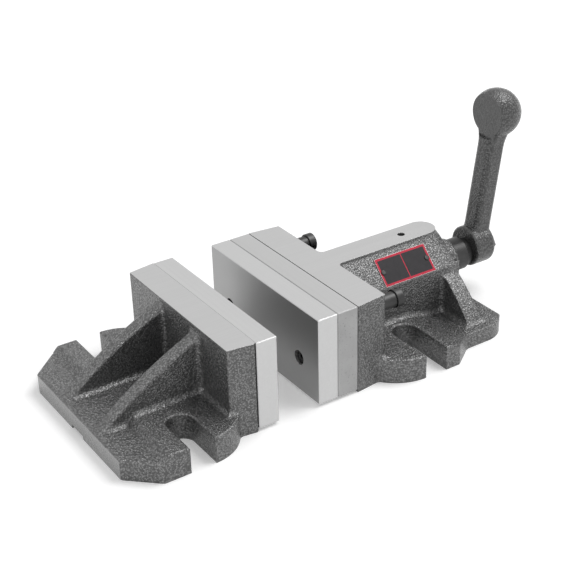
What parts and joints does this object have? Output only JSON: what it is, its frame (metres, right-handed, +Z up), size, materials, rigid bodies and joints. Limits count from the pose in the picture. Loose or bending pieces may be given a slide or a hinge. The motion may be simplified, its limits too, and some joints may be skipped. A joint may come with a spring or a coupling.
{
  "type": "two-piece milling vise",
  "caption": "Two-piece milling vise: a fixed jaw unit and a screw unit bolt to a machine table facing each other, and a cranked handle pushes the moving jaw on guide pins.",
  "frame": {"origin": "on the table's surface, midway between the fixed unit's two clamping slots", "axes": "+Z up from the table, +Y from the fixed unit towards the screw unit and its handle, +X along the jaws, to the right seen from the handle's opposite end looking along +Y"},
  "size_m": [0.1788, 0.4127, 0.1771],
  "materials": {
    "hammered_paint": "hammered dark grey enamel on cast iron",
    "ground_steel": "surface ground",
    "machined_steel": "milled",
    "dark_steel": "smooth, darkened",
    "fastener_steel": "black oxide",
    "bronze": "turned bronze",
    "plate_metal": "blank satin"
  },
  "bodies": {
    "fixed_unit": {"fixed_jaw_casting": "hammered_paint", "fixed_jaw_plate": "ground_steel", "fixed_plate_screws": "fastener_steel"},
    "screw_unit": {"screw_unit_body": "hammered_paint", "screw_nut": "bronze", "nut_set_screw": "fastener_steel", "name_plate": "plate_metal", "name_plate_rivets": "plate_metal"},
    "moving_jaw": {"moving_jaw_block": "machined_steel", "moving_jaw_plate": "ground_steel", "moving_plate_screws": "fastener_steel", "guide_pin_left": "dark_steel", "guide_pin_right": "dark_steel", "guide_collar_left": "dark_steel", "guide_collar_right": "dark_steel", "collar_pin_left": "fastener_steel", "collar_pin_right": "fastener_steel", "thrust_pad": "machined_steel", "screw_keeper": "dark_steel", "keeper_screws": "fastener_steel"},
    "screw_and_handle": {"lead_screw": "dark_steel", "handle": "hammered_paint", "handle_washer": "fastener_steel", "handle_screw": "fastener_steel"}
  },
  "joints": [
    {"name": "unit_spacing", "type": "slide", "parent": "fixed_unit", "child": "screw_unit", "axis": [0, 1, 0], "range_m": [-0.0175, 0.2]},
    {"name": "jaw_slide", "type": "slide", "parent": "screw_unit", "child": "moving_jaw", "axis": [0, -1, 0], "range_m": [0, 0.0175]},
    {"name": "screw_turn", "type": "hinge", "parent": "moving_jaw", "child": "screw_and_handle", "pos_m": [0, 0.321, 0.039], "axis": [0, -1, 0], "range_deg": [0, 1260]}
  ],
  "couplings": [
    {"joint": "screw_turn", "follows": "jaw_slide", "rad_per_m": 1256.6}
  ]
}
